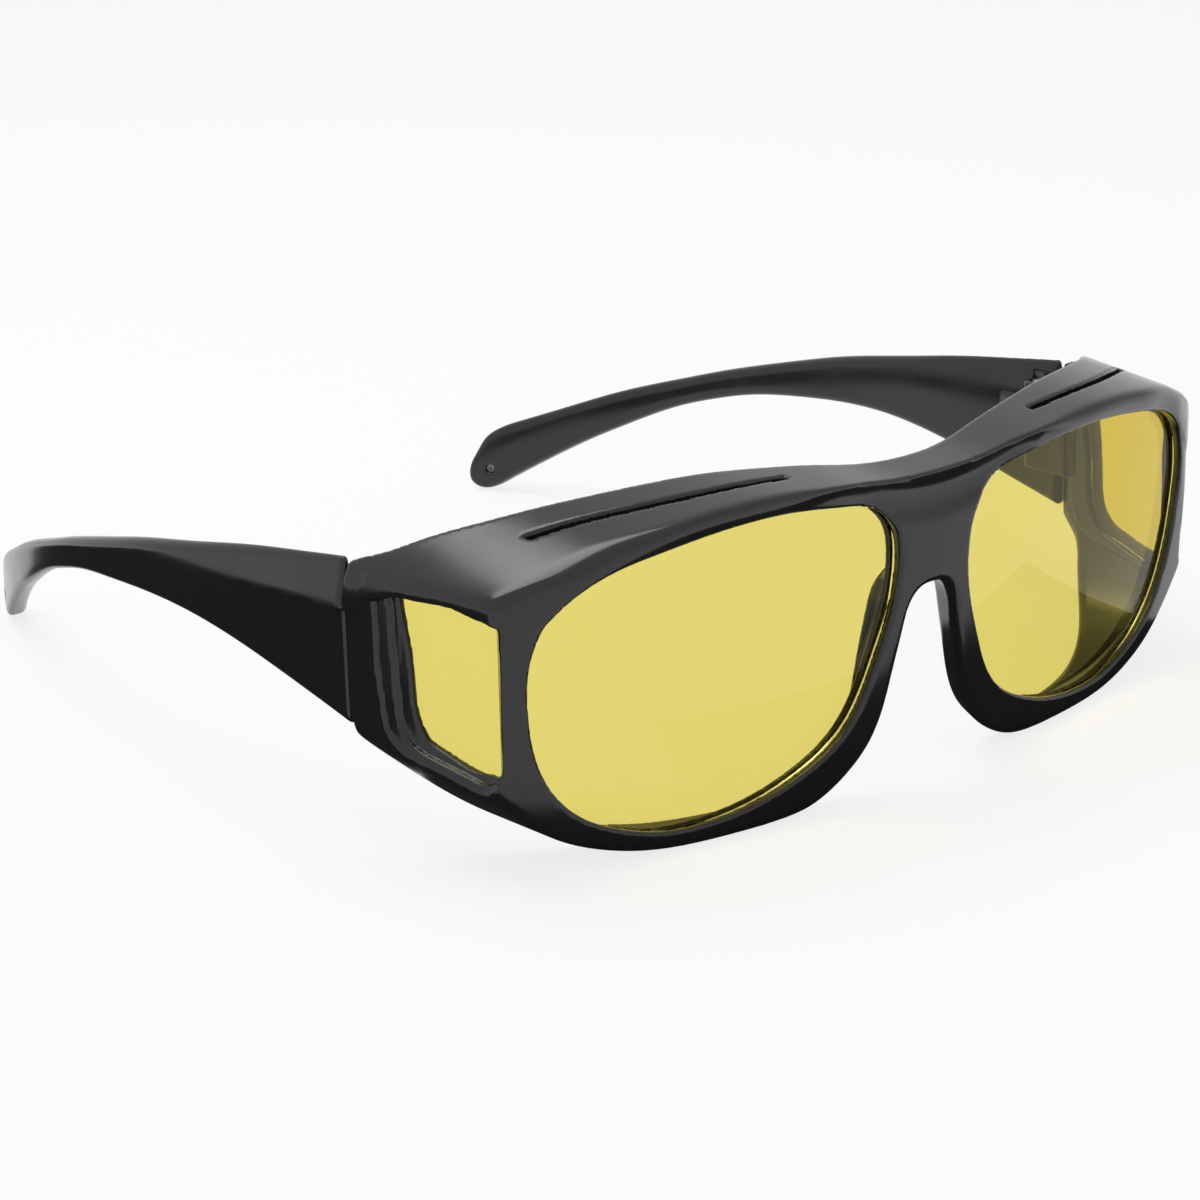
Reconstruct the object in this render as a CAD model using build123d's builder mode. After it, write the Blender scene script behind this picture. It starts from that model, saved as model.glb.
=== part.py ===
"""Fitover sunglasses: one wrap-around front moulding that carries two large tinted lenses and two side
windows, and two temples that fold inwards on screw hinges.

Frame of the model: millimetres, +Z up, the front faces -Y and the temples run to +Y. The glasses stand open
on the lower rims and the temple tips, and the origin is on the ground below the middle of the whole object.
Places along Y are written as setbacks, measured rearwards from the foremost line of the brow.
"""

import os
from math import asin, cos, degrees, hypot, radians, sin, sqrt

from build123d import *

os.makedirs("parts", exist_ok=True)

# Whole object
overall_depth = 166.0      # brow lip to temple tip
half_width = 75.0          # middle of the bridge to the outside of a hinge
overrun = 8.0              # how far a cutting shape runs past what it cuts
brow_y = -overall_depth / 2

# Lens face: a slice of a cylinder that leans forward at the top
face_radius = 218.0
face_setback = 4.6         # middle of the face at ground level
face_lean = 5.2            # degrees
face_thickness = 3.8

# Walls of the moulding
wall = 2.2                 # side walls and roof
floor_wall = 2.0           # lower rim, nose flanges and cheek shelf
brow_step = 0.8            # how far the brow stands out from the side walls below it
seam_setback = 42.0        # rear end of the moulding, where the temples start
corner_inset = 4.9         # from the outside of a hinge to the corner of the lens face and a side wall
corner_setback = 14.4
corner_blend = 6.0
facet_slope = 0.75         # of the small facet that turns the corner

# Roof: highest over each lens, falling to the bridge and to the hinges, and rising gently rearwards
roof_tilt = 6.0            # degrees
roof_setback = 18.0        # where the roof outline below is measured
roof_height = 51.7
roof_shares = [(0.0, 0.952), (0.13, 0.956), (0.22, 0.974), (0.34, 0.992), (0.45, 1.0), (0.56, 0.99),
               (0.67, 0.965), (0.75, 0.933), (0.82, 0.892), (0.88, 0.852), (0.94, 0.80), (0.98, 0.745),
               (1.0, 0.67)]

# Lower outline: the nose arch with its flanges, and the cheeks from the lowest point up to the hinges
arch_height = 30.3
arch_top_width = 3.0       # flat top of the arch
arch_radius = 3.4          # upper corners
arch_slope = 77.0          # degrees, of the sides
foot_radius = 19.0         # where the sides run out into the lower rims
foot_turn = 71.0           # degrees
cheek_height = 21.8
cheek_shares = [(0.49, 0.0), (0.63, 0.028), (0.733, 0.111), (0.813, 0.229), (0.867, 0.357), (0.913, 0.50),
                (0.953, 0.642), (0.985, 0.806), (1.0, 1.0)]

# Front edge of the brow in plan: (share of the half width, setback)
brow_depth = 14.2          # how far the brow sweeps back from its foremost point to the corners
brow_shares = [(0.0, 0.12), (0.107, 0.11), (0.213, 0.065), (0.333, 0.0), (0.44, 0.014), (0.56, 0.127),
               (0.667, 0.289), (0.773, 0.50), (0.853, 0.70), (0.92, 0.93)]

# Lower edge of the brow: along the front, down to a point at each corner, and back to the hinge
brow_line_height = 49.6
brow_line_shares = [(0.0, 0.935), (0.2, 0.975), (0.44, 1.0), (0.613, 0.985), (0.733, 0.948),
                    (0.827, 0.877), (0.884, 0.77)]
peak_inset = 1.3           # from a corner to the downward point of the brow
peak_setback = 13.4
peak_height = 33.7
side_line_height = 39.4
side_line_shares = [(0.16, 0.975), (0.5, 1.0), (0.73, 0.975), (0.88, 0.92), (1.0, 0.873)]

# Rear edge of the moulding in plan: (share of the half width, share of the seam setback)
rear_shares = [(0.0, 0.18), (0.133, 0.21), (0.333, 0.276), (0.56, 0.383), (0.693, 0.49), (0.80, 0.62),
               (0.88, 0.762), (0.95, 0.92)]

# Air slots through the roof
slot_length = 35.8         # across the face
slot_end_inset = 14.6      # from the outside of a hinge to the outer end
slot_setback = 18.0        # of the outer end
slot_sweep = 11.7          # how far the inner end lies ahead of the outer end
slot_bow = 3.6             # how far the middle curves forwards
slot_outer_width = 1.8
slot_inner_width = 1.1

# Front lens and the opening that shows it
opening_x = 7.4            # nasal edge
opening_z = 2.7            # lowest edge
pillar = 3.0               # from the opening to the corner
opening_height = 45.1
opening_top_shares = [(0.0, 0.717), (0.018, 0.84), (0.09, 0.917), (0.228, 0.963), (0.412, 1.0),
                      (0.596, 0.984), (0.764, 0.945), (0.898, 0.868), (0.972, 0.765), (1.0, 0.606)]
opening_bottom_shares = [(1.0, 0.606), (0.98, 0.385), (0.898, 0.17), (0.754, 0.05), (0.546, 0.0),
                         (0.362, 0.035), (0.194, 0.14), (0.085, 0.319), (0.027, 0.518), (0.0, 0.717)]
lens_recess = 1.2          # from the face to the lens
lens_thickness = 1.6
lens_edge = 0.7            # how far the groove of the lens runs into the rim
lens_fit = 0.05            # play of a lens in its groove

# Side window: an opening in a two-step reveal, with a flat lens in a pocket on the inside of the wall
window_setback = 1.3       # front edge of the opening, behind the corner
window_bottom = 15.7
window_length = 16.8
window_height = 22.3
window_shares = [(0.0, 0.96), (0.03, 1.0), (0.99, 0.98), (0.93, 0.235), (0.76, 0.09), (0.08, 0.0), (0.0, 0.05)]
window_corner = 0.8
window_middle_share = 0.5
reveal_step = 0.5          # depth of each of the two steps
reveal_widths = [(4.3, 1.7), (2.4, 0.8)]   # (rearwards, downwards) from the opening, outer step first
side_lens_depth = 1.6      # from the outside of the wall to the lens
side_lens_thickness = 1.5
side_lens_edge = 0.9       # how far the lens reaches past the opening at the top, the rear and the bottom

# Temple
temple_thickness = 3.5
temple_straight = 36.0     # from the seam to the start of the inward bend
temple_inset = 23.0        # how far the tip bends inwards
temple_root = 42.7         # height of the top edge at the seam
temple_length = overall_depth - seam_setback
seam_gap = 0.25
top_shares = [(0.0, 1.0), (0.185, 0.906), (0.403, 0.788), (0.605, 0.646), (0.774, 0.495), (0.927, 0.308),
              (0.972, 0.225)]
tip_shares = [(1.0, 0.10), (0.973, 0.0)]
bottom_shares = [(0.94, 0.035), (0.86, 0.19), (0.726, 0.41), (0.565, 0.56), (0.355, 0.608), (0.194, 0.556),
                 (0.0, 0.413)]
band_height = 34.4         # where the sloping upper band of a temple starts at the seam
band_lean = 1.9            # how far the band leans inwards at the top edge
band_end_height = 30.3     # where the band runs out
band_share = 0.53          # of the temple length, where it runs out
step_run = 30.0            # below the band a temple starts flush with the side wall and widens over this length
cord_hole = 1.6            # bore for a neck cord
cord_hole_inset = 3.4      # from the end of the temple
cord_hole_height = 4.1

# Hinge
pin_inset = 5.0            # from the outside of the moulding
pin_setback = 45.0
knuckle_radius = 2.2
hinge_bottom = 24.4
hinge_height = 14.2
tongue_height = 5.4
hinge_play = 0.2           # between knuckles, up and down
swing_play = 0.35          # around a knuckle that turns past another piece
lug_root = 9.0             # length of the lug along the side wall, ahead of the seam
gusset_length = 9.0        # of the tongue along the temple
screw_radius = 0.8
screw_play = 0.05
head_radius = 1.45
head_height = 0.9
driver_slot = 0.4          # width and depth of the slot in the screw head


def setback_y(setback):
    """Y of a place that lies this far behind the brow."""
    return brow_y + setback


def placed(shares, origin, size):
    """Points of an outline from shares of a size."""
    return [(origin[0] + size[0] * a, origin[1] + size[1] * b) for a, b in shares]


def mirrored(points):
    """The same outline on the other side of the nose."""
    return [(-x, y) for x, y in reversed(points)]


def grown(points, amount, closed=False):
    """The points of an outline, each moved to the left of its run by this much."""
    moved = []
    last = len(points) - 1
    for i, (x, y) in enumerate(points):
        before = points[i - 1] if closed or i else points[0]
        after = points[0] if closed and i == last else points[min(i + 1, last)]
        run_x, run_y = after[0] - before[0], after[1] - before[1]
        length = hypot(run_x, run_y)
        moved.append((x - amount * run_y / length, y + amount * run_x / length))
    return moved


corner_x = half_width - corner_inset
peak_x = corner_x - peak_inset
opening_width = corner_x - pillar - opening_x
pin_x = half_width - pin_inset
seam_y = setback_y(seam_setback)
pin_y = setback_y(pin_setback)
tongue_bottom = hinge_bottom + (hinge_height - tongue_height) / 2
top_z = roof_height + overrun


def face_block(inset):
    """Everything behind the lens face, or behind a surface this far inside it."""
    lean = radians(face_lean)
    axis = Vector(0, -sin(lean), cos(lean))
    foot = Vector(0, setback_y(face_setback), 0) - axis * 2 * overrun
    radius = face_radius - inset
    reach = half_width + overrun
    end_y = face_radius - sqrt(radius**2 - reach**2)
    with BuildPart() as block:
        with BuildSketch(Plane(origin=foot, x_dir=(1, 0, 0), z_dir=axis)):
            with BuildLine():
                ThreePointArc((-reach, end_y), (0, inset), (reach, end_y))
                Polyline((reach, end_y), (reach, overall_depth), (-reach, overall_depth), (-reach, end_y))
            make_face()
        extrude(amount=top_z + 4 * overrun)
    return block.part


def wall_corner(inset):
    """Corner of the lens face and a side wall, and the wall's place at the seam, this far inside."""
    run = seam_setback - corner_setback
    slope = (half_width - corner_x) / run
    shift = inset * hypot(1, slope)
    return corner_x - shift, half_width - shift


def side_block(inset, rear_y):
    """Everything between the two side walls, with the facets that turn the corners."""
    near_x, far_x = wall_corner(inset)
    corner_y = setback_y(corner_setback)
    nose_y = brow_y - overrun
    facet_x = near_x - (corner_y - nose_y) / facet_slope
    slope = (far_x - near_x) / (seam_y - corner_y)
    rear_x = near_x + slope * (rear_y - corner_y)
    right = [(facet_x, nose_y), (near_x, corner_y), (rear_x, rear_y)]
    with BuildPart() as block:
        with BuildSketch(Plane.XY.offset(-overrun)) as plan:
            with BuildLine():
                Polyline(*right, *mirrored(right), right[0])
            make_face()
            fillet(plan.vertices().group_by(Axis.Y)[1], corner_blend)
        extrude(amount=top_z + overrun)
    return block.part


def roof_block(inset):
    """Everything below the roof, which rises rearwards."""
    points = grown(placed(roof_shares, (0, 0), (half_width, roof_height)), -inset)
    points[0] = (0, points[0][1])
    tilt = Vector(0, cos(radians(roof_tilt)), sin(radians(roof_tilt)))
    reach = overall_depth
    start = Vector(0, setback_y(roof_setback), 0) + tilt * reach
    with BuildPart() as block:
        with BuildSketch(Plane(origin=start, x_dir=(1, 0, 0), z_dir=-tilt)):
            with BuildLine():
                side = Spline(*points, tangents=[(1, 0), (0, -1)])
                mirror(side, about=Plane.YZ)
                edge_x, edge_z = points[-1]
                out_x = edge_x + overrun
                ground = [(out_x, edge_z), (out_x, -reach), (-out_x, -reach), (-out_x, edge_z)]
                Polyline((edge_x, edge_z), *(ground if not inset else ground[1:3]), (-edge_x, edge_z))
            make_face()
        extrude(amount=2 * reach)
    return block.part


def outline_block(inset, rear_y):
    """Everything above the lower rims and the cheeks."""
    cheek = grown(placed(cheek_shares, (0, 0), (half_width, cheek_height)), inset)
    with BuildPart() as block:
        with BuildSketch(Plane.XZ.offset(-rear_y)):
            with BuildLine():
                cheek_edge = Spline(*cheek, tangents=[(1, 0), (0, 1)])
                mirror(cheek_edge, about=Plane.YZ)
                low_x, low_z = cheek[0]
                edge_x, edge_z = cheek[-1]
                out_x = edge_x + overrun
                Line((-low_x, low_z), (low_x, low_z))
                Polyline((edge_x, edge_z), (out_x, edge_z), (out_x, top_z), (-out_x, top_z),
                         (-out_x, edge_z), (-edge_x, edge_z))
            make_face()
        extrude(amount=rear_y - brow_y + overrun)
    return block.part


def nose_plug(grow, rear_y):
    """The room for the nose between the two flanges, or a shape this much larger."""
    with BuildPart() as plug:
        with BuildSketch(Plane.XZ.offset(-rear_y)):
            with BuildLine():
                top = Line((0, arch_height + grow), (arch_top_width / 2, arch_height + grow))
                corner = JernArc(top @ 1, (1, 0), arch_radius + grow, -arch_slope)
                foot_rise = (foot_radius - grow) * (cos(radians(arch_slope - foot_turn)) - cos(radians(arch_slope)))
                side_length = ((corner @ 1).Y - grow - foot_rise) / sin(radians(arch_slope))
                side = PolarLine(corner @ 1, side_length, -arch_slope)
                foot = JernArc(side @ 1, side % 1, foot_radius - grow, foot_turn)
                Polyline(foot @ 1, ((foot @ 1).X + overrun, (foot @ 1).Y - overrun), (0, (foot @ 1).Y - overrun))
                mirror(about=Plane.YZ)
            make_face()
        extrude(amount=rear_y - brow_y + overrun)
    return plug.part


def brow_block():
    """Everything behind the front edge of the brow."""
    points = [(half_width * a, setback_y(brow_depth * b)) for a, b in brow_shares]
    reach = half_width + overrun
    with BuildPart() as block:
        with BuildSketch(Plane.XY.offset(-overrun)):
            with BuildLine():
                side = Spline(*points, tangents=[(1, 0), (points[-1][0] - points[-2][0],
                                                          points[-1][1] - points[-2][1])])
                mirror(side, about=Plane.YZ)
                end_x, end_y = points[-1]
                corner_y = setback_y(corner_setback)
                rear_y = seam_y + overrun
                Polyline((end_x, end_y), (reach, corner_y), (reach, rear_y), (-reach, rear_y),
                         (-reach, corner_y), (-end_x, end_y))
            make_face()
        extrude(amount=top_z + overrun)
    return block.part


def below_brow():
    """Everything below the brow's lower edge, on the front and along both sides."""
    front = placed(brow_line_shares, (0, 0), (half_width, brow_line_height)) + [(peak_x, peak_height)]
    side = [(setback_y(peak_setback), peak_height)]
    side += placed(side_line_shares, (setback_y(peak_setback), 0),
                   (seam_setback - peak_setback, side_line_height))
    reach = half_width + overrun
    with BuildPart() as region:
        with BuildSketch(Plane.XZ.offset(-setback_y(peak_setback))):
            with BuildLine():
                line = Spline(*front, tangents=[(1, 0), (peak_x - front[-2][0], peak_height - front[-2][1])])
                mirror(line, about=Plane.YZ)
                Polyline((peak_x, peak_height), (reach, peak_height), (reach, -overrun), (-reach, -overrun),
                         (-reach, peak_height), (-peak_x, peak_height))
            make_face()
        extrude(amount=peak_setback + overrun)
        with BuildSketch(Plane.YZ):
            with BuildLine():
                Spline(*side)
                Polyline(side[-1], (side[-1][0] + overrun, side[-1][1]), (side[-1][0] + overrun, -overrun),
                         (side[0][0], -overrun), side[0])
            make_face()
        extrude(amount=reach, both=True)
    return region.part


def behind_rear_edge():
    """Everything behind the rear edge of the moulding."""
    points = placed(rear_shares, (0, brow_y), (half_width, seam_setback))
    with BuildPart() as region:
        with BuildSketch(Plane.XY.offset(-overrun)):
            with BuildLine():
                side = Spline(*points, tangents=[(1, 0), (points[-1][0] - points[-2][0],
                                                          points[-1][1] - points[-2][1])])
                mirror(side, about=Plane.YZ)
                end_x, end_y = points[-1]
                Polyline((end_x, end_y), (end_x, seam_y + overrun), (-end_x, seam_y + overrun), (-end_x, end_y))
            make_face()
        extrude(amount=top_z + overrun)
    return region.part


def lens_opening(grow):
    """The outline of the +X front lens, grown by this much and run through the face."""
    rows = [placed(shares, (opening_x, opening_z), (opening_width, opening_height))
            for shares in (opening_top_shares, opening_bottom_shares)]
    outline = grown(rows[0] + rows[1][1:-1], grow, closed=True)
    split = len(rows[0])
    with BuildPart() as plug:
        with BuildSketch(Plane.XZ.offset(-seam_y)):
            with BuildLine():
                Spline(*outline[:split])
                Spline(*outline[split - 1:], outline[0])
            make_face()
        extrude(amount=seam_y - brow_y + overrun)
    return plug.part


def side_wall_plane(depth):
    """A plane this far inside the outside of the +X wall: local X runs rearwards and local Y up."""
    near_x, far_x = wall_corner(brow_step)
    run = seam_setback - corner_setback
    along = Vector(far_x - near_x, run, 0).normalized()
    out = Vector(run, near_x - far_x, 0).normalized()
    start = Vector(near_x, setback_y(corner_setback), 0) - out * depth
    return Plane(origin=start, x_dir=along, z_dir=out)


def window_plug(depth, thickness, rear=0.0, down=0.0, up=0.0, fit=0.0):
    """A plate of the window's shape in the +X wall, from this depth inwards, larger at some of its edges."""
    points = []
    for a, b in window_shares:
        x = window_setback + window_length * a + (rear if a > window_middle_share else 0)
        y = window_bottom + window_height * b + (up if b > window_middle_share else -down)
        points.append((x, y))
    with BuildPart() as plug:
        with BuildSketch(side_wall_plane(depth)) as sketch:
            with BuildLine():
                Polyline(*points, close=True)
            make_face()
            fillet(sketch.vertices(), window_corner)
            if fit:
                offset(amount=-fit)
        extrude(amount=-thickness)
    return plug.part


def roof_slot():
    """The air slot over the +X lens: two shallow arcs that follow the brow, with ends cut front to back."""
    outer_x = half_width - slot_end_inset
    inner_x = outer_x - slot_length
    outer_y = setback_y(slot_setback)
    inner_y = outer_y - slot_sweep
    middle_x, middle_y = (outer_x + inner_x) / 2, (outer_y + inner_y) / 2 - slot_bow
    middle_width = (slot_outer_width + slot_inner_width) / 2
    with BuildPart() as slot:
        with BuildSketch(Plane.XY.offset(top_z)):
            with BuildLine():
                edges = [ThreePointArc((outer_x, outer_y + way * slot_outer_width / 2),
                                       (middle_x, middle_y + way * middle_width / 2),
                                       (inner_x, inner_y + way * slot_inner_width / 2)) for way in (1, -1)]
                Line(edges[0] @ 0, edges[1] @ 0)
                Line(edges[0] @ 1, edges[1] @ 1)
            make_face()
        extrude(amount=-(top_z - roof_height + 4 * wall))
    return slot.part


def hinge_lug():
    """The +X lug of the front moulding: a block on the wall that ends in two knuckles round the screw."""
    inner_x = pin_x - knuckle_radius
    outer_x = pin_x + knuckle_radius
    with BuildPart() as lug:
        with BuildSketch(Plane.XY.offset(hinge_bottom)):
            with BuildLine():
                Polyline((inner_x, pin_y), (inner_x, seam_y - lug_root / 2), (outer_x, seam_y - lug_root),
                         (half_width, seam_y - lug_root), (half_width, seam_y), (outer_x, seam_y),
                         (outer_x, pin_y), (inner_x, pin_y))
            make_face()
            with Locations((pin_x, pin_y)):
                Circle(knuckle_radius)
        extrude(amount=hinge_height)
        add(side_block(brow_step + wall / 2, pin_y + overrun), mode=Mode.INTERSECT)
        with BuildSketch(Plane.XY.offset(tongue_bottom - hinge_play)):
            with Locations((pin_x, pin_y - knuckle_radius - swing_play)):
                Rectangle(4 * knuckle_radius, 4 * knuckle_radius, align=(Align.CENTER, Align.MIN))
        extrude(amount=tongue_height + 2 * hinge_play, mode=Mode.SUBTRACT)
        with Locations((pin_x, pin_y, hinge_bottom + hinge_height)):
            CounterBoreHole(screw_radius + screw_play, head_radius + screw_play, head_height, hinge_height)
    return lug.part


def save(solid, name):
    """Write one piece under its name."""
    solid.label = name
    export_step(solid, f"parts/{name}.step")


def other_side(solid):
    """The mirror image of a piece, on the other side of the nose."""
    return mirror(solid, about=Plane.YZ, mode=Mode.PRIVATE)


# Front moulding: the lower walls are set back from the brow, then the inside is hollowed
with BuildPart() as walls:
    add(face_block(0))
    add(side_block(brow_step, seam_y + 2 * overrun), mode=Mode.INTERSECT)

with BuildPart() as brow_shadow:
    add(below_brow())
    add(walls.part, mode=Mode.SUBTRACT)

with BuildPart() as hollow:
    add(face_block(face_thickness))
    add(side_block(brow_step + wall, seam_y + overrun), mode=Mode.INTERSECT)
    add(roof_block(wall), mode=Mode.INTERSECT)
    add(outline_block(floor_wall, seam_y + overrun), mode=Mode.INTERSECT)
    add(nose_plug(floor_wall, seam_y), mode=Mode.SUBTRACT)

with BuildPart() as lens_groove:
    add(lens_opening(lens_edge))
    add(face_block(lens_recess), mode=Mode.INTERSECT)
    add(face_block(lens_recess + lens_thickness + 2 * lens_fit), mode=Mode.SUBTRACT)

with BuildPart() as front_frame:
    add(roof_block(0))
    add(outline_block(0, seam_y + overrun), mode=Mode.INTERSECT)
    add(brow_block(), mode=Mode.INTERSECT)
    add(side_block(0, seam_y), mode=Mode.INTERSECT)
    add(brow_shadow.part, mode=Mode.SUBTRACT)
    add(hollow.part, mode=Mode.SUBTRACT)
    add(behind_rear_edge(), mode=Mode.SUBTRACT)
    add(nose_plug(0, seam_y), mode=Mode.SUBTRACT)
    cuts = [lens_opening(0), lens_groove.part, roof_slot()]
    for step, (rear, down) in enumerate(reveal_widths):
        cuts.append(window_plug(-overrun, overrun + (step + 1) * reveal_step, rear=rear, down=down))
    cuts.append(window_plug(-overrun, overrun + 2 * wall))
    cuts.append(window_plug(side_lens_depth, side_lens_thickness + 2 * lens_fit, rear=side_lens_edge,
                            down=side_lens_edge, up=side_lens_edge))
    for cut in cuts:
        add([cut, other_side(cut)], mode=Mode.SUBTRACT)
    lug = hinge_lug()
    add([lug, other_side(lug)])
save(front_frame.part, "front_frame")

# Front lenses: slices of the face cylinder that slide in the grooves of the rims
with BuildPart() as left_front_lens:
    add(lens_opening(lens_edge - lens_fit))
    add(face_block(lens_recess + lens_fit), mode=Mode.INTERSECT)
    add(face_block(lens_recess + lens_fit + lens_thickness), mode=Mode.SUBTRACT)
save(left_front_lens.part, "left_front_lens")

with BuildPart() as right_front_lens:
    add(other_side(left_front_lens.part))
save(right_front_lens.part, "right_front_lens")

# Side lenses: flat plates in the pockets behind the side windows
with BuildPart() as left_side_lens:
    add(window_plug(side_lens_depth + lens_fit, side_lens_thickness, rear=side_lens_edge,
                    down=side_lens_edge, up=side_lens_edge, fit=lens_fit))
save(left_side_lens.part, "left_side_lens")

with BuildPart() as right_side_lens:
    add(other_side(left_side_lens.part))
save(right_side_lens.part, "right_side_lens")

# Temples: a side outline cut from a band that runs straight back and then bends inwards
temple_start = seam_y + seam_gap
bend_y = seam_y + temple_straight
bend_run = temple_length - temple_straight
bend_radius = (bend_run**2 + temple_inset**2) / (2 * temple_inset)
temple_size = (overall_depth / 2 - temple_start, temple_root)
inner_x = half_width - temple_thickness

with BuildPart() as temple_band:
    with BuildSketch(Plane.XY.offset(-overrun)):
        with BuildLine():
            centre = (half_width - temple_thickness / 2 - bend_radius, bend_y)
            turn = degrees(asin((bend_run + overrun) / bend_radius))
            outer_bend = CenterArc(centre, bend_radius + temple_thickness / 2, 0, turn)
            inner_bend = CenterArc(centre, bend_radius - temple_thickness / 2, 0, turn)
            Polyline((half_width, bend_y), (half_width, temple_start), (inner_x, temple_start), (inner_x, bend_y))
            Line(outer_bend @ 1, inner_bend @ 1)
        make_face()
    extrude(amount=top_z + overrun)

with BuildPart() as left_temple:
    with BuildSketch(Plane.YZ):
        with BuildLine():
            rows = [top_shares, top_shares[-1:] + tip_shares, tip_shares[-1:] + bottom_shares]
            edges = [Spline(*placed(shares, (temple_start, 0), temple_size)) for shares in rows]
            Line(edges[-1] @ 1, edges[0] @ 0)
        make_face()
    extrude(amount=half_width + overrun)
    add(temple_band.part, mode=Mode.INTERSECT)
    # the upper band leans inwards, more and more towards the front
    with BuildSketch(Plane.XZ.offset(-temple_start)):
        with BuildLine():
            lean = 2 * band_lean
            rise = 2 * (temple_root - band_height)
            Polyline((half_width, band_height), (half_width - lean, band_height + rise),
                     (half_width + overrun, band_height + rise), (half_width + overrun, band_height), close=True)
        make_face()
    band_run = band_share * temple_length
    band_drop = band_height - band_end_height
    extrude(amount=hypot(band_run, band_drop), dir=(0, band_run, -band_drop), mode=Mode.SUBTRACT)
    with BuildSketch(Plane.XZ.offset(-temple_start)):
        with BuildLine():
            Polyline((half_width - brow_step, -overrun), (half_width - brow_step, band_height),
                     (half_width + overrun, band_height), (half_width + overrun, -overrun), close=True)
        make_face()
    step_drop = band_drop * step_run / band_run
    extrude(amount=hypot(brow_step, step_run, step_drop), dir=(brow_step, step_run, -step_drop),
            mode=Mode.SUBTRACT)
    # room for the knuckles of the front moulding, then the tongue between them
    with BuildSketch(Plane.XY.offset(hinge_bottom - hinge_play)):
        with Locations((pin_x + knuckle_radius + swing_play, temple_start)):
            Rectangle(knuckle_radius, 2 * (pin_y + knuckle_radius + swing_play - temple_start),
                      align=(Align.MAX, Align.CENTER))
    extrude(amount=hinge_height + 2 * hinge_play, mode=Mode.SUBTRACT)
    with BuildSketch(Plane.XY.offset(tongue_bottom)):
        with BuildLine():
            body_x = half_width - temple_thickness / 2
            Polyline((pin_x, pin_y - knuckle_radius), (body_x, pin_y - knuckle_radius),
                     (body_x, pin_y + gusset_length), (inner_x, pin_y + gusset_length),
                     (pin_x - knuckle_radius, pin_y), (pin_x, pin_y), close=True)
        make_face()
        with Locations((pin_x, pin_y)):
            Circle(knuckle_radius)
    extrude(amount=tongue_height)
    with Locations((pin_x, pin_y, tongue_bottom + tongue_height)):
        Hole(screw_radius + screw_play, tongue_height)
    # bore for a neck cord, square to the band near its end
    hole_y = overall_depth / 2 - cord_hole_inset
    hole_turn = asin((hole_y - bend_y) / bend_radius)
    hole_centre = (centre[0] + bend_radius * cos(hole_turn), hole_y, cord_hole_height)
    with BuildSketch(Plane(origin=hole_centre, x_dir=(0, 0, 1), z_dir=(cos(hole_turn), sin(hole_turn), 0))):
        Circle(cord_hole / 2)
    extrude(amount=temple_thickness, both=True, mode=Mode.SUBTRACT)
save(left_temple.part, "left_temple")

with BuildPart() as right_temple:
    add(other_side(left_temple.part))
save(right_temple.part, "right_temple")

# Hinge screws
with BuildPart() as left_hinge_screw:
    with BuildSketch(Plane.XY.offset(hinge_bottom)):
        with Locations((pin_x, pin_y)):
            Circle(screw_radius)
    extrude(amount=hinge_height - head_height)
    with BuildSketch(Plane.XY.offset(hinge_bottom + hinge_height - head_height)):
        with Locations((pin_x, pin_y)):
            Circle(head_radius)
    extrude(amount=head_height)
    with BuildSketch(Plane.XY.offset(hinge_bottom + hinge_height)):
        with Locations((pin_x, pin_y)):
            Rectangle(2 * knuckle_radius, driver_slot)
    extrude(amount=-driver_slot, mode=Mode.SUBTRACT)
save(left_hinge_screw.part, "left_hinge_screw")

with BuildPart() as right_hinge_screw:
    add(other_side(left_hinge_screw.part))
save(right_hinge_screw.part, "right_hinge_screw")
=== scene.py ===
# %% [markdown]
# # Fitover sunglasses
# These glasses are worn over other glasses: one black wrap-around moulding holds two big tinted lenses
# and two small side windows, and two temples fold in on screw hinges. The imported model gives every piece
# its place and size in metres, so we load it first.

# %% Load the fixed frame
import math

import bmesh
import bpy
import numpy as np
from mathutils import Matrix, Vector


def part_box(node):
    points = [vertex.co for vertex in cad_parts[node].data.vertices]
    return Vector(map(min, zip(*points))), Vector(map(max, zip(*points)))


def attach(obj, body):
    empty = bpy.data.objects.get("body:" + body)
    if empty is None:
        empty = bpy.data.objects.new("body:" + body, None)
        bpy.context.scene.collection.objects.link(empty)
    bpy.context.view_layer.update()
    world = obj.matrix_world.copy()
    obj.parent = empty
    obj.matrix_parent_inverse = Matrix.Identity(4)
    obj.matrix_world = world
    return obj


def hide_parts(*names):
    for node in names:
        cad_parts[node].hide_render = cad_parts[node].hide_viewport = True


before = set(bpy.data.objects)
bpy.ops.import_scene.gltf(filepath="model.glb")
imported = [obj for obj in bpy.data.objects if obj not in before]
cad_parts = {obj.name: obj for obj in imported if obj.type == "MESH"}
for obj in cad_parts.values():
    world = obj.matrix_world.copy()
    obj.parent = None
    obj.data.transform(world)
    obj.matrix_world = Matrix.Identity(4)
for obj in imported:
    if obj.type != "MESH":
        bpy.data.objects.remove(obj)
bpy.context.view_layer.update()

print("pieces:", sorted(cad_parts))

# %% [markdown]
# ## Camera
# The camera stands at the front left and a little above, about half a metre away. Its place and its three
# angles are worked out so that the model covers the same part of the picture as the real glasses do.

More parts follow.
